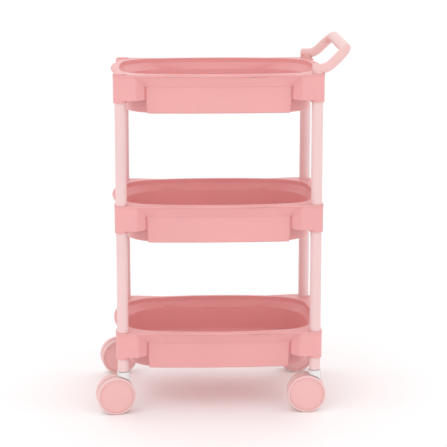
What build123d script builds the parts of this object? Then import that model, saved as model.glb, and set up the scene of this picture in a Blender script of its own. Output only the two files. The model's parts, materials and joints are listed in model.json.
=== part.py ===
"""Three-tier spa trolley on swivel casters: moulded trays, push-fit posts and a loop handle.

Millimetres, +Z up. The origin is on the floor under the centre of the whole trolley.
+X points to the handle end and -Y to the front.
"""

from build123d import *
from math import cos, radians, sin, sqrt
import os

os.makedirs("parts", exist_ok=True)

# ---- Driving dimensions -------------------------------------------------------------------

# Whole trolley
POST_SPACING_X = 380.0       # between post centres along the trolley
POST_SPACING_Y = 276.0       # between post centres across the trolley
TIER_PITCH = 255.0           # rim to rim

# Posts and the sockets that hold them
POST_DIAMETER = 22.2
POST_WALL = 1.8
SOCKET_CLEARANCE = 0.1       # radial, around a post end, spigot or leg
SOCKET_WALL = 2.3
SOCKET_COLLAR = 4.0          # socket tube that stands out under the ear
TOP_POCKET_DEPTH = 20.0
SOCKET_WEB = 5.0             # floor between a socket's upper and lower pocket
END_GAP = 1.0                # left above the upper end of a post

# Tray rim and its opening
RIM_OVERHANG_X = 21.0        # rim's end beyond the post centres
RIM_OVERHANG_Y = 14.4        # rim's long side beyond the post centres
RIM_THICKNESS = 5.7
RIM_ROUND = 2.6
RIM_END_BOW = 375.0          # plan radius of the rim's ends
RIM_SIDE_BOW = 830.0         # plan radius of the rim's long sides
RIM_CORNER = 75.0
LEDGE_X = 17.0               # rim width at the ends
LEDGE_Y = 10.5               # rim width along the sides
OPENING_END_BOW = 560.0
OPENING_SIDE_BOW = 750.0
OPENING_CORNER = 72.0

# Tray tub
TRAY_WALL = 2.5
TRAY_DEPTH = 77.3            # rim top to the underside of the floor
MOUTH_LIP = 8.6              # straight inner face below the opening
BAND_FOOT = 24.8             # rim top to the sharp lower edge of the flared band
BAND_OVERHANG = 2.2          # rim beyond the top of the flared band
BAND_EDGE = 0.8              # step from the band's lower edge to the tub and panels
TUB_DRAFT = 5.5              # degrees
TUB_SET_IN_X = 21.0          # rim's end to the tub's end wall
TUB_SET_IN_Y = 14.4          # rim's side to the raised side panel
CORNER_SET_IN = 7.0          # side panel to the corner wall behind it
TUB_END_BOW = 560.0
TUB_SIDE_BOW = 1900.0
TUB_CORNER = 80.0
BASIN_CORNER = 96.0
PANEL_LENGTH = 287.0         # raised side panel, at its top
PANEL_CORNER = 6.0
TUB_FOOT_ROUND = 2.0
FLOOR_ROUND = 9.0            # inner corner between wall and floor

# Tray ears, which carry the sockets
EAR_HEIGHT = 50.0
EAR_DECK = 3.6
EAR_WALL = 2.5
EAR_FLANK_X = 29.5           # post centre to where the front flank leaves the ear's face
EAR_FLANK_RUN = 17.0         # how far the front flank slants inwards
EAR_BLEND_RUN = 48.0         # front flank to where the top plate runs out into the rim
EAR_END_Y = 26.0             # post centre to where the end flank leaves the ear's end
EAR_FLANK_ROUND = 8.0
EAR_PLATE = 4.0              # top plate of the ear, slightly proud of the wall under it
EAR_PLATE_PROUD = 0.6
EAR_TOP_CHAMFER = 1.4

# Corner caps and handle fixing
CAP_LIP = 1.2                # cap beyond the socket's bore
CAP_HEAD = 1.8
CAP_SPIGOT = 14.0
SPIGOT_LENGTH = 18.0
SCREW_DIAMETER = 4.0
SCREW_HEAD_DIAMETER = 8.0
SCREW_HEAD_HEIGHT = 2.6
SCREW_BITE = 12.0            # screw inside the spigot
SCREW_CLEARANCE = 0.3        # radial, where the screw passes the socket web

# Loop handle
HANDLE_WIDTH = 22.0          # across the bar, in the plane of the loop
HANDLE_THICKNESS = 19.0
HANDLE_FOOT_ROUND = 5.0
HANDLE_FOOT_BACK = 11.0      # foot's end behind the post centre
HANDLE_ELBOW_X = 17.0        # post centre to the elbow where the arm turns up
HANDLE_REACH = 55.0          # post centre to the middle of the grip bar
HANDLE_RISE = 46.0           # tray rim to the middle of the grip bar
HANDLE_ELBOW_RADIUS = 34.0
HANDLE_GRIP_RADIUS = 26.0

# Short legs and swivel casters
LEG_GAP = 10.0               # top of the wheel to the underside of the leg
LEG_LENGTH = 54.5
LEG_FOOT_ROUND = 1.2
WHEEL_DIAMETER = 75.5
CASTER_TRAIL = 16.0          # swivel axis to the axle
CASTER_WIDTH = 35.0          # over both wheels
LEFT_CASTER_TURN = 10.0      # degrees, seen from above
RIGHT_CASTER_TURN = 0.0
BUSH_RADIUS = 7.0
BUSH_FLANGE_RADIUS = 9.5
BUSH_FLANGE = 0.8
BUSH_DEPTH = 22.0
LEG_ROOM = 8.0               # leg bore above the bush, round the kingpin's head
KINGPIN_RADIUS = 4.0
KINGPIN_HEAD_RADIUS = 5.6
KINGPIN_HEAD = 3.0
KINGPIN_GRIP = 22.0          # kingpin inside the housing
RUNNING_CLEARANCE = 0.05     # radial, on a turning pin
SWIVEL_GAP = 0.4             # bush flange to housing
HUB_RADIUS = 12.5
SPINE_WIDTH = 9.0            # housing between the wheels
SPINE_INSET = 5.25           # tread to the rim of the round spine
WHEEL_SIDE_GAP = 0.7         # housing to wheel
WHEEL_ARCH_GAP = 1.4         # hub to wheel
AXLE_RADIUS = 3.0
AXLE_COVER = 3.0             # wheel face beyond the axle's end
TREAD_THICKNESS = 4.4
TREAD_ROUND = 2.2
WHEEL_RIM = 3.4
WHEEL_WEB = 3.0
WHEEL_BOSS_RADIUS = 8.0
WHEEL_FACE_INSET = 1.0       # wheel face behind the tread's side

# ---- Sizes that follow from them -----------------------------------------------------------

POST_RADIUS = POST_DIAMETER / 2
SOCKET_BORE = POST_RADIUS + SOCKET_CLEARANCE
SOCKET_RADIUS = SOCKET_BORE + SOCKET_WALL
LOWER_POCKET_ROOF = TOP_POCKET_DEPTH + SOCKET_WEB
SOCKET_FOOT = EAR_HEIGHT + SOCKET_COLLAR
CAP_RADIUS = SOCKET_BORE + CAP_LIP

WHEEL_RADIUS = WHEEL_DIAMETER / 2
SPINE_RADIUS = WHEEL_RADIUS - SPINE_INSET
LEG_BOTTOM = WHEEL_DIAMETER + LEG_GAP
BOTTOM_RIM_HEIGHT = LEG_BOTTOM + LEG_LENGTH + LOWER_POCKET_ROOF

RIM_HALF_X = POST_SPACING_X / 2 + RIM_OVERHANG_X
RIM_HALF_Y = POST_SPACING_Y / 2 + RIM_OVERHANG_Y
TUB_HALF_X = RIM_HALF_X - TUB_SET_IN_X
PANEL_HALF_Y = RIM_HALF_Y - TUB_SET_IN_Y
CORNER_HALF_Y = PANEL_HALF_Y - CORNER_SET_IN

TIERS = {"bottom": 0, "middle": 1, "top": 2}
RIM_HEIGHT = {tier: BOTTOM_RIM_HEIGHT + step * TIER_PITCH for tier, step in TIERS.items()}

HANDLE_END = POST_SPACING_X / 2 + HANDLE_REACH + HANDLE_WIDTH / 2
turn = radians(LEFT_CASTER_TURN)
CASTER_END = POST_SPACING_X / 2 + (CASTER_TRAIL + WHEEL_RADIUS) * cos(turn) + CASTER_WIDTH / 2 * sin(turn)

# The posts stand about this point, which puts the origin under the middle of the whole trolley.
TRAY_X = (CASTER_END - HANDLE_END) / 2
SIDES = {"left": -1, "right": 1}
ENDS = {"front": -1, "back": 1}
CORNERS = [(end, side) for end in ENDS for side in SIDES]


def post_place(end, side):
    """Plan position of one corner's post."""
    return TRAY_X + SIDES[side] * POST_SPACING_X / 2, ENDS[end] * POST_SPACING_Y / 2


def finish(piece, label):
    """Name a finished piece and write it as its own file."""
    piece.part.label = label
    export_step(piece.part, f"parts/{label}.step")


# ---- Tray ---------------------------------------------------------------------------------


def bowed_outline(half_x, half_y, end_bow, side_bow, corner):
    """Oval with gently bowed sides and ends and rounded corners."""
    with BuildSketch() as outline:
        with Locations((0, half_y - side_bow)):
            Circle(side_bow)
        with Locations((0, side_bow - half_y)):
            Circle(side_bow, mode=Mode.INTERSECT)
        with Locations((half_x - end_bow, 0)):
            Circle(end_bow, mode=Mode.INTERSECT)
        with Locations((end_bow - half_x, 0)):
            Circle(end_bow, mode=Mode.INTERSECT)
        fillet(outline.vertices().sort_by(lambda v: abs(v.Y))[-4:], corner)
    return outline.sketch


def panel_outline(half_x, half_y, corner):
    """Straight-ended outline that carries the raised front and back panels."""
    with BuildSketch() as outline:
        with Locations((0, half_y - TUB_SIDE_BOW)):
            Circle(TUB_SIDE_BOW)
        with Locations((0, TUB_SIDE_BOW - half_y)):
            Circle(TUB_SIDE_BOW, mode=Mode.INTERSECT)
        Rectangle(2 * half_x, 4 * half_y, mode=Mode.INTERSECT)
        fillet(outline.vertices(), corner)
    return outline.sketch


rim_plan = bowed_outline(RIM_HALF_X, RIM_HALF_Y, RIM_END_BOW, RIM_SIDE_BOW, RIM_CORNER)
opening_plan = bowed_outline(
    RIM_HALF_X - LEDGE_X, RIM_HALF_Y - LEDGE_Y, OPENING_END_BOW, OPENING_SIDE_BOW, OPENING_CORNER
)
band_top_plan = bowed_outline(
    RIM_HALF_X - BAND_OVERHANG, RIM_HALF_Y - BAND_OVERHANG, RIM_END_BOW, RIM_SIDE_BOW, RIM_CORNER
)
band_foot_plan = bowed_outline(TUB_HALF_X, PANEL_HALF_Y, TUB_END_BOW, TUB_SIDE_BOW, TUB_CORNER)
tub_plan = bowed_outline(TUB_HALF_X - BAND_EDGE, CORNER_HALF_Y, TUB_END_BOW, TUB_SIDE_BOW, TUB_CORNER)
panel_plan = panel_outline(PANEL_LENGTH / 2, PANEL_HALF_Y - BAND_EDGE, PANEL_CORNER)
basin_plan = bowed_outline(
    TUB_HALF_X - BAND_EDGE - TRAY_WALL,
    PANEL_HALF_Y - BAND_EDGE - TRAY_WALL,
    TUB_END_BOW,
    TUB_SIDE_BOW,
    BASIN_CORNER,
)

# Rim: a flat ring with a rounded outer edge. Its middle is cut out later.
with BuildPart() as rim:
    with BuildSketch(Plane.XY.offset(-RIM_THICKNESS)):
        add(rim_plan)
    extrude(amount=RIM_THICKNESS)
    fillet(rim.edges().filter_by_position(Axis.Z, -RIM_THICKNESS, 0), RIM_ROUND)

# Flared band that leads from the rim in to the tub.
with BuildPart() as band:
    with BuildSketch(Plane.XY.offset(-BAND_FOOT)):
        add(band_foot_plan)
    with BuildSketch(Plane.XY.offset(-RIM_THICKNESS)):
        add(band_top_plan)
    loft(ruled=True)

# Tub: drafted end and corner walls, with the raised front and back panel run through it.
tub_height = TRAY_DEPTH - BAND_FOOT
with BuildPart() as tub:
    with BuildSketch(Plane.XY.offset(-BAND_FOOT)):
        add(tub_plan)
    extrude(amount=-tub_height, taper=TUB_DRAFT)
    fillet(tub.faces().sort_by(Axis.Z)[0].edges(), TUB_FOOT_ROUND)

with BuildPart() as panel:
    with BuildSketch(Plane.XY.offset(-BAND_FOOT)):
        add(panel_plan)
    extrude(amount=-tub_height, taper=TUB_DRAFT)
    fillet(panel.faces().sort_by(Axis.Z)[0].edges(), TUB_FOOT_ROUND)

# Space inside the tray: a straight mouth, the splay behind the band, then the basin.
splay_foot = BAND_FOOT - TRAY_WALL
with BuildPart() as basin:
    with BuildSketch(Plane.XY.offset(-splay_foot)):
        add(basin_plan)
    extrude(amount=splay_foot - TRAY_DEPTH + TRAY_WALL, taper=TUB_DRAFT)
    fillet(basin.faces().sort_by(Axis.Z)[0].edges(), FLOOR_ROUND)

with BuildPart() as splay:
    with BuildSketch(Plane.XY.offset(-splay_foot)):
        add(basin_plan)
    with BuildSketch(Plane.XY.offset(-MOUTH_LIP)):
        add(opening_plan)
    loft(ruled=True)

with BuildPart() as mouth:
    with BuildSketch(Plane.XY.offset(-MOUTH_LIP)):
        add(opening_plan)
    extrude(amount=MOUTH_LIP)

with BuildPart() as hollow:
    add(basin.part)
    add(splay.part)
    add(mouth.part)

# Ear: plan outline of the back right one, about the tray's centre.
socket_x = POST_SPACING_X / 2
socket_y = POST_SPACING_Y / 2
ear_face_y = socket_y + SOCKET_RADIUS
ear_end_x = socket_x + SOCKET_RADIUS
flank_x = socket_x - EAR_FLANK_X
flank_y = socket_y - EAR_END_Y
inside = EAR_FLANK_RUN * 2
with BuildSketch() as ear_plan:
    with BuildLine():
        Polyline(
            (flank_x - EAR_FLANK_RUN - inside, flank_y - inside),
            (flank_x - EAR_FLANK_RUN, PANEL_HALF_Y - inside),
            (flank_x - EAR_FLANK_RUN, PANEL_HALF_Y - TRAY_WALL),
            (flank_x, ear_face_y),
            (ear_end_x, ear_face_y),
            (ear_end_x, flank_y),
            (TUB_HALF_X - TRAY_WALL, flank_y - inside),
            close=True,
        )
    make_face()
    fillet(ear_plan.vertices().sort_by_distance((ear_end_x, ear_face_y))[0], SOCKET_RADIUS)
    fillet(ear_plan.vertices().sort_by_distance((flank_x, ear_face_y))[0], EAR_FLANK_ROUND)
    fillet(ear_plan.vertices().sort_by_distance((ear_end_x, flank_y))[0], EAR_FLANK_ROUND)

# The top plate runs out into the rim beside the ear, and the band flares with it.
blend_x = flank_x - EAR_BLEND_RUN
flank_foot_x = flank_x - EAR_FLANK_RUN
blend_inner_y = PANEL_HALF_Y - inside


def bow_y(half_y, bow, x):
    """Half width of a bowed outline at a distance along the tray."""
    return half_y - bow + sqrt(bow**2 - x**2)


def four_sided(corners):
    """Sketch of a straight-sided outline."""
    with BuildSketch() as outline:
        with BuildLine():
            Polyline(*corners, close=True)
        make_face()
    return outline.sketch


blend_plan = four_sided(
    [
        (blend_x, bow_y(RIM_HALF_Y, RIM_SIDE_BOW, blend_x) - EAR_PLATE_PROUD),
        (flank_x, ear_face_y),
        (flank_x, blend_inner_y),
        (blend_x, blend_inner_y),
    ]
)
flare_top_plan = four_sided(
    [
        (blend_x, bow_y(RIM_HALF_Y, RIM_SIDE_BOW, blend_x) - BAND_OVERHANG),
        (flank_x, ear_face_y - EAR_PLATE_PROUD),
        (flank_x, blend_inner_y),
        (blend_x, blend_inner_y),
    ]
)
flare_foot_plan = four_sided(
    [
        (blend_x, bow_y(PANEL_HALF_Y, TUB_SIDE_BOW, blend_x) - BAND_EDGE / 2),
        (flank_foot_x, bow_y(PANEL_HALF_Y, TUB_SIDE_BOW, flank_foot_x) - BAND_EDGE / 2),
        (flank_foot_x, blend_inner_y),
        (blend_x, blend_inner_y),
    ]
)

with BuildPart() as flare:
    with BuildSketch(Plane.XY.offset(-BAND_FOOT)):
        add(flare_foot_plan)
    with BuildSketch(Plane.XY.offset(-EAR_PLATE)):
        add(flare_top_plan)
    loft(ruled=True)

# Top plate of the ear, slightly proud of the wall under it and chamfered round its top.
with BuildPart() as ear_plate:
    with BuildSketch(Plane.XY.offset(-EAR_PLATE)):
        add(ear_plan.sketch)
        add(blend_plan)
        offset(amount=EAR_PLATE_PROUD)
    extrude(amount=EAR_PLATE - EAR_TOP_CHAMFER)
    with BuildSketch(Plane.XY.offset(-EAR_TOP_CHAMFER)):
        add(ear_plan.sketch)
        add(blend_plan)
        offset(amount=EAR_PLATE_PROUD)
    extrude(amount=EAR_TOP_CHAMFER, taper=45)

# Ear shell, open underneath, with the socket tube standing in it.
with BuildPart() as ear:
    with BuildSketch(Plane.XY.offset(-EAR_HEIGHT)):
        add(ear_plan.sketch)
    extrude(amount=EAR_HEIGHT)
    add(ear_plate.part)
    with BuildSketch(Plane.XY.offset(-EAR_HEIGHT)):
        add(ear_plan.sketch)
        offset(amount=-EAR_WALL)
    extrude(amount=EAR_HEIGHT - EAR_DECK, mode=Mode.SUBTRACT)
    add(flare.part)
    with BuildSketch(Plane.XY.offset(-SOCKET_FOOT)):
        with Locations((socket_x, socket_y)):
            Circle(SOCKET_RADIUS)
    extrude(amount=SOCKET_FOOT)

with BuildPart() as ears:
    add(ear.part)
    mirror(about=Plane.YZ)
    mirror(about=Plane.XZ)

with BuildPart() as tray_blank:
    add(rim.part)
    add(band.part)
    add(tub.part)
    add(panel.part)
    add(ears.part)
    add(hollow.part, mode=Mode.SUBTRACT)
    with BuildSketch(Plane.XY.offset(-SOCKET_FOOT)):
        with GridLocations(POST_SPACING_X, POST_SPACING_Y, 2, 2):
            Circle(SOCKET_BORE)
    extrude(amount=SOCKET_FOOT - LOWER_POCKET_ROOF, mode=Mode.SUBTRACT)
    with BuildSketch(Plane.XY.offset(-TOP_POCKET_DEPTH)):
        with GridLocations(POST_SPACING_X, POST_SPACING_Y, 2, 2):
            Circle(SOCKET_BORE)
    extrude(amount=TOP_POCKET_DEPTH + 1, mode=Mode.SUBTRACT)

for tier, rim_height in RIM_HEIGHT.items():
    with BuildPart() as tray:
        with Locations((TRAY_X, 0, rim_height)):
            add(tray_blank.part)
        if tier == "top":
            with BuildSketch(Plane.XY.offset(rim_height - LOWER_POCKET_ROOF)):
                with Locations(*[post_place(end, "right") for end in ENDS]):
                    Circle(SCREW_DIAMETER / 2 + SCREW_CLEARANCE)
            extrude(amount=SOCKET_WEB, mode=Mode.SUBTRACT)
    finish(tray, f"tray_{tier}")

# ---- Posts, legs and caps --------------------------------------------------------------------

# Each post stands in the top pocket of the tray under it and ends in the tray above.
post_length = TIER_PITCH - LOWER_POCKET_ROOF - END_GAP + TOP_POCKET_DEPTH
for lower_tier, span in {"bottom": "lower", "middle": "upper"}.items():
    for end, side in CORNERS:
        foot = Plane((*post_place(end, side), RIM_HEIGHT[lower_tier] - TOP_POCKET_DEPTH))
        with BuildPart() as post:
            with BuildSketch(foot):
                Circle(POST_RADIUS)
                Circle(POST_RADIUS - POST_WALL, mode=Mode.SUBTRACT)
            extrude(amount=post_length)
        finish(post, f"post_{span}_{end}_{side}")

# A leg plugs into each lower pocket of the bottom tray and holds the caster's bush.
for end, side in CORNERS:
    leg_foot = Plane((*post_place(end, side), LEG_BOTTOM))
    with BuildPart() as leg:
        with BuildSketch(leg_foot):
            Circle(POST_RADIUS)
        extrude(amount=LEG_LENGTH)
        fillet(leg.edges().group_by(Axis.Z)[0], LEG_FOOT_ROUND)
        with BuildSketch(leg_foot):
            Circle(BUSH_RADIUS)
        extrude(amount=BUSH_DEPTH + LEG_ROOM, mode=Mode.SUBTRACT)
    finish(leg, f"leg_{end}_{side}")

# Flush caps close the top tray's left sockets.
for end in ENDS:
    with BuildPart() as cap:
        with BuildSketch(Plane((*post_place(end, "left"), RIM_HEIGHT["top"] - CAP_SPIGOT))):
            Circle(POST_RADIUS)
            Circle(POST_RADIUS - POST_WALL, mode=Mode.SUBTRACT)
        extrude(amount=CAP_SPIGOT)
        with BuildSketch(Plane((*post_place(end, "left"), RIM_HEIGHT["top"]))):
            Circle(CAP_RADIUS)
        extrude(amount=CAP_HEAD)
        fillet(cap.edges().group_by(Axis.Z)[-1], CAP_HEAD / 2)
    finish(cap, f"socket_cap_{end}_left")

# ---- Loop handle -------------------------------------------------------------------------------

handle_base = RIM_HEIGHT["top"]
foot_height = handle_base + HANDLE_THICKNESS / 2
post_x, front_y = post_place("front", "right")
post_x, back_y = post_place("back", "right")
foot_x = post_x - HANDLE_FOOT_BACK
elbow_x = post_x + HANDLE_ELBOW_X
grip_x = post_x + HANDLE_REACH
grip_height = handle_base + HANDLE_RISE

with BuildPart() as handle:
    with BuildLine() as handle_route:
        FilletPolyline(
            (foot_x, front_y, foot_height),
            (elbow_x, front_y, foot_height),
            (grip_x, front_y, grip_height),
            (grip_x, back_y, grip_height),
            (elbow_x, back_y, foot_height),
            (foot_x, back_y, foot_height),
            radius=(HANDLE_ELBOW_RADIUS, HANDLE_GRIP_RADIUS, HANDLE_GRIP_RADIUS, HANDLE_ELBOW_RADIUS),
        )
    with BuildSketch(Plane((foot_x, front_y, foot_height), x_dir=(0, 1, 0), z_dir=(1, 0, 0))):
        Ellipse(HANDLE_WIDTH / 2, HANDLE_THICKNESS / 2)
    sweep()
    fillet(handle.edges().group_by(Axis.X)[0], HANDLE_FOOT_ROUND)
    # Spigots under the two feet plug into the top tray's right sockets.
    with BuildSketch(Plane.XY.offset(handle_base - SPIGOT_LENGTH)):
        with Locations((post_x, front_y), (post_x, back_y)):
            Circle(POST_RADIUS)
    extrude(amount=SPIGOT_LENGTH + HANDLE_THICKNESS / 2)
    with BuildSketch(Plane.XY.offset(handle_base - SPIGOT_LENGTH)):
        with Locations((post_x, front_y), (post_x, back_y)):
            Circle(SCREW_DIAMETER / 2)
    extrude(amount=SCREW_BITE, mode=Mode.SUBTRACT)
finish(handle, "handle")

# Screws that hold the spigots, driven from below through the socket webs.
screw_length = TOP_POCKET_DEPTH - SPIGOT_LENGTH + SOCKET_WEB + SCREW_BITE
with BuildPart() as handle_screws:
    with BuildSketch(Plane.XY.offset(handle_base - LOWER_POCKET_ROOF)):
        with Locations((post_x, front_y), (post_x, back_y)):
            Circle(SCREW_DIAMETER / 2)
    extrude(amount=screw_length)
    with BuildSketch(Plane.XY.offset(handle_base - LOWER_POCKET_ROOF - SCREW_HEAD_HEIGHT)):
        with Locations((post_x, front_y), (post_x, back_y)):
            Circle(SCREW_HEAD_DIAMETER / 2)
    extrude(amount=SCREW_HEAD_HEIGHT)
finish(handle_screws, "handle_screws")

# ---- Swivel casters --------------------------------------------------------------------------

axle_half = CASTER_WIDTH / 2 - WHEEL_FACE_INSET - AXLE_COVER
spine_half = SPINE_WIDTH / 2
wheel_inner = spine_half + WHEEL_SIDE_GAP
wheel_outer = CASTER_WIDTH / 2
disc_outer = wheel_outer - WHEEL_FACE_INSET
disc_radius = WHEEL_RADIUS - TREAD_THICKNESS
hub_top = LEG_BOTTOM - BUSH_FLANGE - SWIVEL_GAP
kingpin_foot = hub_top - KINGPIN_GRIP

for end, side in CORNERS:
    heading = radians(LEFT_CASTER_TURN if side == "left" else RIGHT_CASTER_TURN)
    forward = Vector(cos(heading), sin(heading), 0)
    across = Vector(-sin(heading), cos(heading), 0)
    swivel = Vector(*post_place(end, side), 0)
    axle_centre = swivel - forward * CASTER_TRAIL + Vector(0, 0, WHEEL_RADIUS)
    corner = f"{end}_{side}"

    # Flanged bush, fixed in the leg.
    with BuildPart() as bush:
        with BuildSketch(Plane(swivel + Vector(0, 0, LEG_BOTTOM - BUSH_FLANGE))):
            Circle(BUSH_FLANGE_RADIUS)
        extrude(amount=BUSH_FLANGE)
        with BuildSketch(Plane(swivel + Vector(0, 0, LEG_BOTTOM))):
            Circle(BUSH_RADIUS)
        extrude(amount=BUSH_DEPTH)
        with BuildSketch(Plane(swivel + Vector(0, 0, LEG_BOTTOM - BUSH_FLANGE))):
            Circle(KINGPIN_RADIUS + RUNNING_CLEARANCE)
        extrude(amount=BUSH_FLANGE + BUSH_DEPTH, mode=Mode.SUBTRACT)
    finish(bush, f"caster_{corner}_bush")

    # Kingpin, pressed into the housing, with a head that keeps it in the bush.
    head_base = LEG_BOTTOM + BUSH_DEPTH + SWIVEL_GAP
    with BuildPart() as kingpin:
        with BuildSketch(Plane(swivel + Vector(0, 0, kingpin_foot))):
            Circle(KINGPIN_RADIUS)
        extrude(amount=head_base - kingpin_foot)
        with BuildSketch(Plane(swivel + Vector(0, 0, head_base))):
            Circle(KINGPIN_HEAD_RADIUS)
        extrude(amount=KINGPIN_HEAD)
        chamfer(kingpin.edges().group_by(Axis.Z)[-1], KINGPIN_HEAD / 3)
    finish(kingpin, f"caster_{corner}_kingpin")

    # Housing: hub over the wheels and a round spine between them.
    side_plane = Plane(axle_centre, x_dir=forward, z_dir=-across)
    with BuildPart() as housing:
        with BuildSketch(Plane(swivel + Vector(0, 0, WHEEL_RADIUS))):
            Circle(HUB_RADIUS)
        extrude(amount=hub_top - WHEEL_RADIUS)
        with BuildSketch(side_plane):
            Circle(WHEEL_RADIUS + WHEEL_ARCH_GAP)
        extrude(amount=CASTER_WIDTH / 2, both=True, mode=Mode.SUBTRACT)
        with BuildSketch(side_plane):
            Circle(SPINE_RADIUS)
            with Locations((CASTER_TRAIL, (hub_top - WHEEL_RADIUS) / 2)):
                Rectangle(2 * HUB_RADIUS - 1, hub_top - WHEEL_RADIUS)
        extrude(amount=spine_half, both=True)
        with BuildSketch(side_plane):
            Circle(AXLE_RADIUS)
        extrude(amount=spine_half, both=True, mode=Mode.SUBTRACT)
        with BuildSketch(Plane(swivel + Vector(0, 0, kingpin_foot))):
            Circle(KINGPIN_RADIUS)
        extrude(amount=KINGPIN_GRIP, mode=Mode.SUBTRACT)
    finish(housing, f"caster_{corner}_housing")

    # Axle, pressed through the spine.
    with BuildPart() as axle:
        with BuildSketch(side_plane):
            Circle(AXLE_RADIUS)
        extrude(amount=axle_half, both=True)
        chamfer(axle.edges(), AXLE_RADIUS / 6)
    finish(axle, f"caster_{corner}_axle")

    # Two wheels that turn on the axle by themselves, each a disc with its own tread.
    for face, facing in ENDS.items():
        spin = Axis(axle_centre, across)
        section = Plane(axle_centre, x_dir=forward, z_dir=forward.cross(across * facing))
        with BuildPart() as disc:
            with BuildSketch(section):
                with Locations((0, wheel_inner)):
                    Rectangle(WHEEL_BOSS_RADIUS, disc_outer - wheel_inner, align=(Align.MIN, Align.MIN))
                with Locations((0, disc_outer - WHEEL_WEB)):
                    Rectangle(disc_radius, WHEEL_WEB, align=(Align.MIN, Align.MIN))
                with Locations((disc_radius - WHEEL_RIM, wheel_inner)):
                    Rectangle(WHEEL_RIM, disc_outer - wheel_inner, align=(Align.MIN, Align.MIN))
                with Locations((0, wheel_inner)):
                    Rectangle(
                        AXLE_RADIUS + RUNNING_CLEARANCE,
                        axle_half + SWIVEL_GAP - wheel_inner,
                        align=(Align.MIN, Align.MIN),
                        mode=Mode.SUBTRACT,
                    )
            revolve(axis=spin)
        finish(disc, f"caster_{corner}_disc_{face}")
        with BuildPart() as tread:
            with BuildSketch(section) as tread_section:
                with Locations((disc_radius, wheel_inner)):
                    Rectangle(TREAD_THICKNESS, wheel_outer - wheel_inner, align=(Align.MIN, Align.MIN))
                fillet(tread_section.vertices().sort_by(Axis.X)[-2:], TREAD_ROUND)
            revolve(axis=spin)
        finish(tread, f"caster_{corner}_tread_{face}")
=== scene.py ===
"""Finished looks of the three-tier spa trolley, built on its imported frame.

Everything is in metres. The posts, legs, trays and handle keep the shape that the frame gives
them and get a moulded plastic finish. The wheels are turned here, with their dished faces and
rounded treads. Twelve small webs close the grooves beside the trays' ears.
"""

import json
import logging
import math
from dataclasses import dataclass, field
from enum import Enum

import bmesh
import bpy
from mathutils import Matrix, Vector


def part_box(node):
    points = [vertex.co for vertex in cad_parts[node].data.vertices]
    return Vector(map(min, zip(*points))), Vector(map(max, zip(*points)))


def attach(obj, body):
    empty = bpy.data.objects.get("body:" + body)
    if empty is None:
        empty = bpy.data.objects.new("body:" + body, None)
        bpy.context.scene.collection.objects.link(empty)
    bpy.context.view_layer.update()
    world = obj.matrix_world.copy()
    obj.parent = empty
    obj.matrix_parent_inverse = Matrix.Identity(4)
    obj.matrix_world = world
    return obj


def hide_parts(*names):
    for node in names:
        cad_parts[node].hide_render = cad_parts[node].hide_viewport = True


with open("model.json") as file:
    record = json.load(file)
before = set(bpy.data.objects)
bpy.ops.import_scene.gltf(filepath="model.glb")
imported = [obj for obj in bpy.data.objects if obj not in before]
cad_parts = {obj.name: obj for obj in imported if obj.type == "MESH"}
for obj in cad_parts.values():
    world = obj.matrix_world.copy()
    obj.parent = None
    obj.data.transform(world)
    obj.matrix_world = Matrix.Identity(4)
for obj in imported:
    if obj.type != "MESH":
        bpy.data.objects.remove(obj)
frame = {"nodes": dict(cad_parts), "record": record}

log = logging.getLogger("spa_trolley")

Colour = tuple[float, float, float]
Place = tuple[float, float, float]
Point = tuple[float, float]

# Octaves of the noise in each shared effect.
DRIFT_DETAIL = 3.0
EDGE_DETAIL = 4.0
RUBBED_DETAIL = 6.0
GRAIN_DETAIL = 2.0
RIPPLE_DETAIL = 1.0

NOISE_MIDDLE = 0.5  # a noise texture's mean
BEVEL_SAMPLES = 6
EDGE_TURN = (0.02, 0.25)  # how far the normal turns at a faint and at a full edge
EDGE_BREAK_SCALE = 90.0
EDGE_POLISH = 0.2  # roughness lost on a rubbed edge
COAT_ROUGHNESS = 0.25
MIX_FIRST, MIX_SECOND, MIX_RESULT = 6, 7, 2  # the colour sockets of a mix node

SHARP_ANGLE = 35.0  # degrees between facets that stay sharp
MERGE_DISTANCE = 1e-6


class End(Enum):
    """The trolley's two long sides."""

    FRONT = "front"
    BACK = "back"


class Side(Enum):
    """The trolley's two ends; the handle is on the right."""

    LEFT = "left"
    RIGHT = "right"


class Tier(Enum):
    """The trays from the floor up."""

    BOTTOM = "bottom"
    MIDDLE = "middle"
    TOP = "top"


# ---- Shared surface effects ---------------------------------------------------------------


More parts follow.
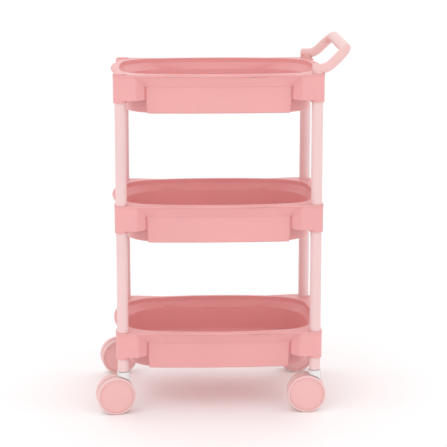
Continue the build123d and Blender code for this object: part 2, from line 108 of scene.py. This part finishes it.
class SurfaceEffects:
    """Shader node groups that the finishes share."""

    def __init__(self) -> None:
        """Make every group once."""
        self.drift = self._colour_drift()
        self.edges = self._painted_edge_highlight()
        self.rubbed = self._rubbed_roughness()
        self.grain = self._mould_grain()

    @staticmethod
    def _group(name: str, inputs: dict[str, str], outputs: dict[str, str]) -> bpy.types.NodeTree:
        """Start a node group with named sockets.

        Args:
            name: the group's name.
            inputs: socket name to kind, where a kind is Float, Color or Vector.
            outputs: the same for what the group gives.

        Returns:
            The group, with its input and output nodes in place.
        """
        group = bpy.data.node_groups.new(name, "ShaderNodeTree")
        for way, sockets in (("INPUT", inputs), ("OUTPUT", outputs)):
            for label, kind in sockets.items():
                group.interface.new_socket(label, in_out=way, socket_type=f"NodeSocket{kind}")
        group.nodes.new("NodeGroupInput")
        group.nodes.new("NodeGroupOutput")
        return group

    @staticmethod
    def _ends(group: bpy.types.NodeTree) -> tuple[bpy.types.Node, bpy.types.Node]:
        """Return the group's input node and output node."""
        return group.nodes["Group Input"], group.nodes["Group Output"]

    @staticmethod
    def _noise(group: bpy.types.NodeTree, detail: float) -> bpy.types.Node:
        """Add a noise texture on object coordinates.

        Args:
            group: the group that gets it.
            detail: octaves of the noise.

        Returns:
            The noise node.
        """
        place = group.nodes.new("ShaderNodeTexCoord")
        noise = group.nodes.new("ShaderNodeTexNoise")
        noise.inputs["Detail"].default_value = detail
        group.links.new(place.outputs["Object"], noise.inputs["Vector"])
        return noise

    @staticmethod
    def _math(
        group: bpy.types.NodeTree, operation: str, first: object, second: object
    ) -> bpy.types.NodeSocket:
        """Add a math node.

        Args:
            group: the group that gets it.
            operation: the math node's operation.
            first: a socket or a number.
            second: a socket or a number.

        Returns:
            The socket with the result.
        """
        node = group.nodes.new("ShaderNodeMath")
        node.operation = operation
        for slot, value in zip(node.inputs, (first, second)):
            if isinstance(value, bpy.types.NodeSocket):
                group.links.new(value, slot)
            else:
                slot.default_value = value
        return node.outputs[0]

    def _colour_drift(self) -> bpy.types.NodeTree:
        """Make the slow change of tone across a moulding."""
        group = self._group(
            "Colour drift",
            {"Colour": "Color", "Amount": "Float", "Scale": "Float"},
            {"Colour": "Color"},
        )
        start, end = self._ends(group)
        noise = self._noise(group, DRIFT_DETAIL)
        group.links.new(start.outputs["Scale"], noise.inputs["Scale"])
        centred = self._math(group, "SUBTRACT", noise.outputs[0], NOISE_MIDDLE)
        spread = self._math(group, "MULTIPLY", centred, start.outputs["Amount"])
        tone = group.nodes.new("ShaderNodeHueSaturation")
        group.links.new(self._math(group, "ADD", spread, 1.0), tone.inputs["Value"])
        group.links.new(start.outputs["Colour"], tone.inputs["Color"])
        group.links.new(tone.outputs["Color"], end.inputs["Colour"])
        return group

    def _painted_edge_highlight(self) -> bpy.types.NodeTree:
        """Make the paler line painted along edges and parting lines as a highlight, and the edge
        mask that polishes them.
        """
        group = self._group(
            "Edge wear",
            {"Colour": "Color", "Edge colour": "Color", "Amount": "Float", "Width": "Float"},
            {"Colour": "Color", "Edge": "Float"},
        )
        start, end = self._ends(group)
        soft = group.nodes.new("ShaderNodeBevel")
        soft.samples = BEVEL_SAMPLES
        hard = group.nodes.new("ShaderNodeNewGeometry")
        turned = group.nodes.new("ShaderNodeVectorMath")
        turned.operation = "DOT_PRODUCT"
        group.links.new(start.outputs["Width"], soft.inputs["Radius"])
        group.links.new(soft.outputs["Normal"], turned.inputs[0])
        group.links.new(hard.outputs["Normal"], turned.inputs[1])
        away = self._math(group, "SUBTRACT", 1.0, turned.outputs["Value"])
        edge = group.nodes.new("ShaderNodeMapRange")
        for label, turn in zip(("From Min", "From Max"), EDGE_TURN):
            edge.inputs[label].default_value = turn
        group.links.new(away, edge.inputs["Value"])
        broken = self._noise(group, EDGE_DETAIL)
        broken.inputs["Scale"].default_value = EDGE_BREAK_SCALE
        patch = self._math(group, "MULTIPLY", edge.outputs["Result"], broken.outputs[0])
        share = self._math(group, "MULTIPLY", patch, start.outputs["Amount"])
        # painted highlight: the paler edge colour is mixed in along every edge
        mix = group.nodes.new("ShaderNodeMix")
        mix.data_type = "RGBA"
        group.links.new(share, mix.inputs["Factor"])
        group.links.new(start.outputs["Colour"], mix.inputs[MIX_FIRST])
        group.links.new(start.outputs["Edge colour"], mix.inputs[MIX_SECOND])
        group.links.new(mix.outputs[MIX_RESULT], end.inputs["Colour"])
        group.links.new(share, end.inputs["Edge"])
        return group

    def _rubbed_roughness(self) -> bpy.types.NodeTree:
        """Make the faint handling marks that change the gloss."""
        group = self._group(
            "Rubbed roughness",
            {"Roughness": "Float", "Spread": "Float", "Scale": "Float", "Edge": "Float"},
            {"Roughness": "Float"},
        )
        start, end = self._ends(group)
        noise = self._noise(group, RUBBED_DETAIL)
        group.links.new(start.outputs["Scale"], noise.inputs["Scale"])
        centred = self._math(group, "SUBTRACT", noise.outputs[0], NOISE_MIDDLE)
        spread = self._math(group, "MULTIPLY", centred, start.outputs["Spread"])
        marked = self._math(group, "ADD", start.outputs["Roughness"], spread)
        polish = self._math(group, "MULTIPLY", start.outputs["Edge"], EDGE_POLISH)
        group.links.new(self._math(group, "SUBTRACT", marked, polish), end.inputs["Roughness"])
        return group

    def _mould_grain(self) -> bpy.types.NodeTree:
        """Make the fine spark-eroded grain and the slow ripple of a moulded wall."""
        group = self._group(
            "Mould grain",
            {"Grain scale": "Float", "Ripple scale": "Float", "Ripple": "Float"},
            {"Height": "Float"},
        )
        start, end = self._ends(group)
        grain = self._noise(group, GRAIN_DETAIL)
        group.links.new(start.outputs["Grain scale"], grain.inputs["Scale"])
        ripple = self._noise(group, RIPPLE_DETAIL)
        group.links.new(start.outputs["Ripple scale"], ripple.inputs["Scale"])
        wave = self._math(group, "MULTIPLY", ripple.outputs[0], start.outputs["Ripple"])
        group.links.new(self._math(group, "ADD", grain.outputs[0], wave), end.inputs["Height"])
        return group


# ---- Finishes -------------------------------------------------------------------------------


@dataclass(frozen=True)
class Finish:
    """One material of the trolley, with its real grain sizes."""

    name: str
    colour: Colour
    highlight_colour: Colour
    roughness: float
    metallic: float = 0.0
    drift: float = 0.10
    drift_scale: float = 9.0
    # share of the paler edge colour painted on as a highlight
    wear: float = 0.35
    edge_width: float = 0.0012
    gloss_spread: float = 0.16
    gloss_scale: float = 35.0
    grain_scale: float = 1400.0
    grain_depth: float = 0.00006
    ripple_scale: float = 28.0
    ripple: float = 1.2
    coat: float = 0.0

    def material(self, effects: SurfaceEffects) -> bpy.types.Material:
        """Build the finish as a node material.

        Args:
            effects: the shared node groups.

        Returns:
            The material.
        """
        made = bpy.data.materials.new(self.name)
        made.use_nodes = True
        tree = made.node_tree
        shader = tree.nodes["Principled BSDF"]
        shader.inputs["Metallic"].default_value = self.metallic
        shader.inputs["Coat Weight"].default_value = self.coat
        shader.inputs["Coat Roughness"].default_value = COAT_ROUGHNESS
        drift = self._use(tree, effects.drift, {"Amount": self.drift, "Scale": self.drift_scale})
        drift.inputs["Colour"].default_value = (*self.colour, 1.0)
        # painted highlight: paler colour along the edges
        edges = self._use(tree, effects.edges, {"Amount": self.wear, "Width": self.edge_width})
        edges.inputs["Edge colour"].default_value = (*self.highlight_colour, 1.0)
        tree.links.new(drift.outputs["Colour"], edges.inputs["Colour"])
        tree.links.new(edges.outputs["Colour"], shader.inputs["Base Color"])
        rubbed = self._use(
            tree,
            effects.rubbed,
            {"Roughness": self.roughness, "Spread": self.gloss_spread, "Scale": self.gloss_scale},
        )
        tree.links.new(edges.outputs["Edge"], rubbed.inputs["Edge"])
        tree.links.new(rubbed.outputs["Roughness"], shader.inputs["Roughness"])
        grain = self._use(
            tree,
            effects.grain,
            {
                "Grain scale": self.grain_scale,
                "Ripple scale": self.ripple_scale,
                "Ripple": self.ripple,
            },
        )
        rounded = tree.nodes.new("ShaderNodeBevel")
        rounded.samples = BEVEL_SAMPLES
        rounded.inputs["Radius"].default_value = self.edge_width
        bump = tree.nodes.new("ShaderNodeBump")
        bump.inputs["Distance"].default_value = self.grain_depth
        tree.links.new(grain.outputs["Height"], bump.inputs["Height"])
        tree.links.new(rounded.outputs["Normal"], bump.inputs["Normal"])
        tree.links.new(bump.outputs["Normal"], shader.inputs["Normal"])
        return made

    @staticmethod
    def _use(
        tree: bpy.types.NodeTree, group: bpy.types.NodeTree, values: dict[str, float]
    ) -> bpy.types.Node:
        """Add a shared group to a material.

        Args:
            tree: the material's nodes.
            group: the shared group.
            values: numbers for its sockets.

        Returns:
            The group node.
        """
        node = tree.nodes.new("ShaderNodeGroup")
        node.node_tree = group
        for label, value in values.items():
            node.inputs[label].default_value = value
        return node


TRAY_PINK: Colour = (0.80, 0.375, 0.37)
POST_PINK: Colour = (0.82, 0.575, 0.57)
HANDLE_PINK: Colour = (0.80, 0.50, 0.48)
WHEEL_PINK: Colour = (0.84, 0.48, 0.47)
TREAD_PINK: Colour = (0.84, 0.55, 0.54)
# paler pink painted along edges as a highlight
PALE_PINK: Colour = (0.88, 0.62, 0.61)

TRAY_PLASTIC = Finish("tray_plastic", TRAY_PINK, PALE_PINK, roughness=0.42)
POST_PLASTIC = Finish("post_plastic", POST_PINK, PALE_PINK, roughness=0.36, grain_scale=1900.0)
HANDLE_PLASTIC = Finish("handle_plastic", HANDLE_PINK, PALE_PINK, roughness=0.34, coat=0.05)
WHEEL_PLASTIC = Finish("wheel_plastic", WHEEL_PINK, PALE_PINK, roughness=0.45, ripple=0.6)
TREAD_RUBBER = Finish(
    "tread_rubber", TREAD_PINK, PALE_PINK, roughness=0.62, grain_depth=0.00012, wear=0.2
)
HOUSING_NYLON = Finish(
    "housing_nylon", (0.80, 0.80, 0.79), (0.88, 0.88, 0.88), roughness=0.38, drift=0.05
)
PIN_STEEL = Finish(
    "pin_steel",
    (0.58, 0.58, 0.60),
    (0.72, 0.72, 0.73),
    roughness=0.30,
    metallic=1.0,
    grain_scale=2600.0,
    grain_depth=0.00002,
    ripple=0.2,
)


class Paint:
    """Keeps one material for each finish and puts it on objects."""

    def __init__(self) -> None:
        """Start with the shared effects and no materials."""
        self.effects = SurfaceEffects()
        self.made: dict[str, bpy.types.Material] = {}

    def dress(self, piece: bpy.types.Object, finish: Finish) -> None:
        """Give a piece its finish.

        Args:
            piece: a mesh object.
            finish: the finish it gets.
        """
        if finish.name not in self.made:
            self.made[finish.name] = finish.material(self.effects)
        piece.data.materials.clear()
        piece.data.materials.append(self.made[finish.name])

    def dress_node(self, node: str, finish: Finish) -> None:
        """Give a frame node its finish.

        Args:
            node: the node's name.
            finish: the finish it gets.
        """
        self.dress(frame["nodes"][node], finish)
        log.info("dressed %s in %s", node, finish.name)


# ---- Turned pieces --------------------------------------------------------------------------


def linked(name: str, shape: bmesh.types.BMesh) -> bpy.types.Object:
    """Make a scene object from a finished shape, which is freed.

    Args:
        name: the object's name.
        shape: the geometry, in world coordinates.

    Returns:
        The object.
    """
    mesh = bpy.data.meshes.new(name)
    shape.to_mesh(mesh)
    shape.free()
    piece = bpy.data.objects.new(name, mesh)
    bpy.context.scene.collection.objects.link(piece)
    return piece


def turned(
    name: str,
    profile: list[Point],
    closed: bool,
    centre: Vector,
    axis: Vector,
    steps: int = 96,
) -> bpy.types.Object:
    """Spin a profile about an axle.

    Args:
        name: the object's name.
        profile: radius and distance along the axle, point by point.
        closed: whether the last point joins the first.
        centre: the point on the axle that distances count from.
        axis: the axle's direction.
        steps: facets in the full turn.

    Returns:
        The object, with its place in its mesh.
    """
    shape = bmesh.new()
    points = [shape.verts.new((radius, 0.0, along)) for radius, along in profile]
    pairs = list(zip(points, points[1:]))
    if closed:
        pairs.append((points[-1], points[0]))
    for pair in pairs:
        shape.edges.new(pair)
    bmesh.ops.spin(
        shape,
        geom=shape.verts[:] + shape.edges[:],
        axis=(0.0, 0.0, 1.0),
        cent=(0.0, 0.0, 0.0),
        angle=math.tau,
        steps=steps,
        use_merge=True,
    )
    bmesh.ops.remove_doubles(shape, verts=shape.verts[:], dist=MERGE_DISTANCE)
    bmesh.ops.recalc_face_normals(shape, faces=shape.faces[:])
    place = Matrix.Translation(centre) @ axis.to_track_quat("Z", "Y").to_matrix().to_4x4()
    bmesh.ops.transform(shape, matrix=place, verts=shape.verts[:])
    for face in shape.faces:
        face.smooth = True
    piece = linked(name, shape)
    piece.data.set_sharp_from_angle(angle=math.radians(SHARP_ANGLE))
    return piece


def arc(centre: Point, radius: float, start: float, stop: float, count: int = 5) -> list[Point]:
    """Points of a round corner in a profile.

    Args:
        centre: the corner's centre, as radius and distance along the axle.
        radius: the corner's own radius.
        start: first angle in degrees.
        stop: last angle in degrees.
        count: number of points.

    Returns:
        The points in order.
    """
    turns = [math.radians(start + (stop - start) * step / (count - 1)) for step in range(count)]
    return [(centre[0] + radius * math.cos(t), centre[1] + radius * math.sin(t)) for t in turns]


@dataclass
class TwinWheel:
    """One of a caster's two wheels: a dished disc in a soft tread."""

    end: End
    side: Side
    face: End
    inner: float = 0.0052
    outer: float = 0.0175
    radius: float = 0.03775
    disc_radius: float = 0.03335
    boss_radius: float = 0.008
    bore_radius: float = 0.00305
    tread_round: float = 0.0026
    face_inset: float = 0.0010
    dish: float = 0.0007
    ring: float = 0.0042
    web: float = 0.003
    rim: float = 0.0034
    end_gap: float = 0.0004
    mould_draft: float = 0.0004
    edge_round: float = 0.0012
    dish_run: float = 0.0006
    tread_lip: float = 0.0007
    face_shares: tuple[float, ...] = (0.8, 0.5, 0.25)  # radii of the face's rings
    middle_drop: float = 0.4  # share of the dish that is left at the middle
    outward_drop: float = 0.5  # share that the face loses on its way out to the ring

    def __post_init__(self) -> None:
        """Take the axle from the frame's rolling joint."""
        joints = frame["record"]["behaviour"]["joints"]
        named = f"roll_{self.end.value}_{self.side.value}_{self.face.value}"
        joint = next(j for j in joints if j["name"] == named)
        self.centre = Vector(joint["pos_m"])
        outwards = 1.0 if self.face is End.BACK else -1.0
        self.axis = Vector(joint["axis"]).normalized() * outwards
        self.body = joint["child"]
        self.stem = f"caster_{self.end.value}_{self.side.value}"

    def disc_profile(self) -> list[Point]:
        """Return the disc's outline from the blind bore round to the middle of its face."""
        face = self.outer - self.face_inset
        floor = face - self.web
        ring_in = self.disc_radius - self.ring
        well = self.disc_radius - self.rim
        bore_end = floor + self.end_gap
        outline = [(0.0, bore_end), (self.bore_radius, bore_end), (self.bore_radius, self.inner)]
        outline += [(self.boss_radius, self.inner), (self.boss_radius + self.mould_draft, floor)]
        outline += [(well - self.mould_draft, floor), (well, self.inner)]
        outline.append((self.disc_radius, self.inner))
        edge = (self.disc_radius - self.edge_round, face - self.edge_round)
        outline += arc(edge, self.edge_round, 0.0, 90.0)
        outline += [(ring_in + self.dish_run, face), (ring_in, face - self.dish)]
        # The face rises again from the ring to a slightly raised middle.
        for share in self.face_shares:
            drop = self.dish * (self.middle_drop + self.outward_drop * share)
            outline.append((ring_in * share, face - drop))
        outline.append((0.0, face - self.dish * self.middle_drop))
        return outline

    def tread_profile(self) -> list[Point]:
        """Return the tread's closed outline."""
        edge = self.radius - self.tread_round
        outline = [(self.disc_radius, self.inner)]
        outline += arc((edge, self.inner + self.tread_round), self.tread_round, -90.0, 0.0, 7)
        outline += arc((edge, self.outer - self.tread_round), self.tread_round, 0.0, 90.0, 7)
        outline.append((self.disc_radius + self.tread_lip, self.outer))
        outline.append((self.disc_radius, self.outer - self.tread_lip))
        return outline

    def build(self, paint: Paint) -> None:
        """Make the disc and the tread and put them on the wheel's body.

        Args:
            paint: the finishes.
        """
        disc_node = f"{self.stem}_disc_{self.face.value}"
        disc = turned(f"{disc_node}_face", self.disc_profile(), False, self.centre, self.axis)
        self._fit(disc, disc_node)
        paint.dress(disc, WHEEL_PLASTIC)
        tread_node = f"{self.stem}_tread_{self.face.value}"
        tread = turned(f"{tread_node}_ring", self.tread_profile(), True, self.centre, self.axis)
        self._fit(tread, tread_node)
        paint.dress(tread, TREAD_RUBBER)
        log.info("turned wheel %s %s", self.stem, self.face.value)

    def _fit(self, piece: bpy.types.Object, node: str) -> None:
        """Let a turned piece stand for its node and roll with its wheel.

        Args:
            piece: the new piece.
            node: the node that it replaces.
        """
        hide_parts(node)
        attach(piece, self.body)


@dataclass
class Caster:
    """A swivel caster: bush, kingpin, housing, axle and twin wheels."""

    end: End
    side: Side

    def build(self, paint: Paint) -> None:
        """Dress the caster's fixed pieces and turn its wheels.

        Args:
            paint: the finishes.
        """
        stem = f"caster_{self.end.value}_{self.side.value}"
        paint.dress_node(f"{stem}_bush", HOUSING_NYLON)
        paint.dress_node(f"{stem}_housing", HOUSING_NYLON)
        paint.dress_node(f"{stem}_kingpin", PIN_STEEL)
        paint.dress_node(f"{stem}_axle", PIN_STEEL)
        for face in End:
            TwinWheel(self.end, self.side, face).build(paint)


@dataclass
class Corner:
    """One corner's posts and leg."""

    end: End
    side: Side

    def build(self, paint: Paint) -> None:
        """Dress the posts, the leg and any socket cap.

        Args:
            paint: the finishes.
        """
        place = f"{self.end.value}_{self.side.value}"
        paint.dress_node(f"post_upper_{place}", POST_PLASTIC)
        paint.dress_node(f"post_lower_{place}", POST_PLASTIC)
        paint.dress_node(f"leg_{place}", POST_PLASTIC)
        if self.side is Side.LEFT:
            paint.dress_node(f"socket_cap_{place}", TRAY_PLASTIC)


@dataclass
class CornerWeb:
    """Drafted web that closes the groove between a tray's panel and its ear."""

    tier: Tier
    end: End
    side: Side
    inner_x: float = 0.1405
    outer_x: float = 0.1442
    root_y: float = 0.1240
    face_y: float = 0.1304
    top_drop: float = 0.0240
    foot_drop: float = 0.0496
    draft: float = 0.0024
    edge_round: float = 0.0005
    round_facets: int = 2

    def build(self, paint: Paint) -> None:
        """Model the web and let it ride with the trays.

        Args:
            paint: the finishes.
        """
        low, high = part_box(f"tray_{self.tier.value}")
        centre = Vector(((low[0] + high[0]) / 2, (low[1] + high[1]) / 2, high[2]))
        along = 1.0 if self.side is Side.RIGHT else -1.0
        across = 1.0 if self.end is End.BACK else -1.0
        size = Vector(
            (self.outer_x - self.inner_x, self.face_y - self.root_y, self.foot_drop - self.top_drop)
        )
        middle = Vector(
            (
                along * (self.outer_x + self.inner_x) / 2,
                across * (self.face_y + self.root_y) / 2,
                -(self.foot_drop + self.top_drop) / 2,
            )
        )
        shape = bmesh.new()
        bmesh.ops.create_cube(shape, size=1.0)
        bmesh.ops.scale(shape, vec=size, verts=shape.verts[:])
        foot = [vert for vert in shape.verts if vert.co.z < 0]
        bmesh.ops.translate(shape, vec=(0.0, -across * self.draft, 0.0), verts=foot)
        bmesh.ops.bevel(
            shape,
            geom=shape.edges[:],
            offset=self.edge_round,
            offset_type="OFFSET",
            segments=self.round_facets,
            profile=0.5,
            material=-1,
            affect="EDGES",
        )
        bmesh.ops.translate(shape, vec=centre + middle, verts=shape.verts[:])
        web = linked(f"tray_{self.tier.value}_web_{self.end.value}_{self.side.value}", shape)
        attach(web, "frame")
        paint.dress(web, TRAY_PLASTIC)


@dataclass
class TrayStack:
    """The three trays with the handle on the top one."""

    tiers: list[Tier] = field(default_factory=lambda: list(Tier))

    def build(self, paint: Paint) -> None:
        """Dress the trays, the handle and its screws.

        Args:
            paint: the finishes.
        """
        for tier in self.tiers:
            paint.dress_node(f"tray_{tier.value}", TRAY_PLASTIC)
            for end in End:
                for side in Side:
                    CornerWeb(tier, end, side).build(paint)
        paint.dress_node("handle", HANDLE_PLASTIC)
        paint.dress_node("handle_screws", PIN_STEEL)


# ---- Studio -----------------------------------------------------------------------------------


@dataclass(frozen=True)
class Lamp:
    """A square area lamp."""

    name: str
    place: Place
    size: float
    power: float


@dataclass
class Studio:
    """Pale floor, soft lights and the camera."""

    tray_centre_x: float
    floor_size: float = 60.0
    camera_place: Place = (-0.1128, -3.3791, 1.0691)
    camera_pitch: float = 78.045
    camera_turn: float = -2.146
    lens: float = 136.8
    sensor: float = 36.0
    sky_strength: float = 1.05
    paper_white: float = 0.99
    paper_roughness: float = 0.9
    aim: Place = (0.0, 0.0, 0.35)
    lamps: tuple[Lamp, ...] = (
        Lamp("key", (-1.7, -2.2, 2.9), size=2.2, power=8.0),
        Lamp("fill", (2.4, -2.6, 1.4), size=2.6, power=3.0),
        Lamp("rear", (0.6, 2.4, 2.2), size=2.4, power=3.0),
    )

    def build(self) -> None:
        """Make the floor, the world light, the lamps and the camera."""
        self._floor()
        self._world()
        for lamp in self.lamps:
            self._hang(lamp)
        self._camera()

    def _floor(self) -> None:
        """Lay a pale seamless floor."""
        shape = bmesh.new()
        bmesh.ops.create_grid(shape, x_segments=1, y_segments=1, size=self.floor_size / 2)
        floor = linked("studio_floor", shape)
        paper = bpy.data.materials.new("floor_paper")
        paper.use_nodes = True
        shader = paper.node_tree.nodes["Principled BSDF"]
        shader.inputs["Base Color"].default_value = (*[self.paper_white] * 3, 1.0)
        shader.inputs["Roughness"].default_value = self.paper_roughness
        floor.data.materials.append(paper)

    def _world(self) -> None:
        """Fill the room with even white light."""
        world = bpy.data.worlds.new("studio")
        world.use_nodes = True
        sky = world.node_tree.nodes["Background"]
        sky.inputs["Color"].default_value = (1.0, 1.0, 1.0, 1.0)
        sky.inputs["Strength"].default_value = self.sky_strength
        bpy.context.scene.world = world
        bpy.context.scene.view_settings.view_transform = "Standard"

    def _hang(self, lamp: Lamp) -> None:
        """Hang a soft square lamp that faces the trolley.

        Args:
            lamp: what hangs where.
        """
        light = bpy.data.lights.new(lamp.name, "AREA")
        light.shape = "SQUARE"
        light.size = lamp.size
        light.energy = lamp.power
        hung = bpy.data.objects.new(lamp.name, light)
        hung.location = lamp.place
        aim = Vector(self.aim) - Vector(lamp.place)
        hung.rotation_euler = aim.to_track_quat("-Z", "Y").to_euler()
        bpy.context.scene.collection.objects.link(hung)

    def _camera(self) -> None:
        """Set up the camera a little left of the middle and above the top tray."""
        data = bpy.data.cameras.new("camera")
        data.lens = self.lens
        data.sensor_width = self.sensor
        camera = bpy.data.objects.new("camera", data)
        x, y, z = self.camera_place
        camera.location = (x + self.tray_centre_x, y, z)
        pitch, turn = math.radians(self.camera_pitch), math.radians(self.camera_turn)
        camera.rotation_euler = (pitch, 0.0, turn)
        bpy.context.scene.collection.objects.link(camera)
        bpy.context.scene.camera = camera


def main() -> None:
    """Build the trolley from the floor up, then the studio."""
    logging.basicConfig(level=logging.INFO, format="%(message)s")
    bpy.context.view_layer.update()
    low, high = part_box("tray_top")
    paint = Paint()
    for end in End:
        for side in Side:
            Caster(end, side).build(paint)
            Corner(end, side).build(paint)
    TrayStack().build(paint)
    Studio(tray_centre_x=(low[0] + high[0]) / 2).build()


if __name__ == "__main__":
    main()
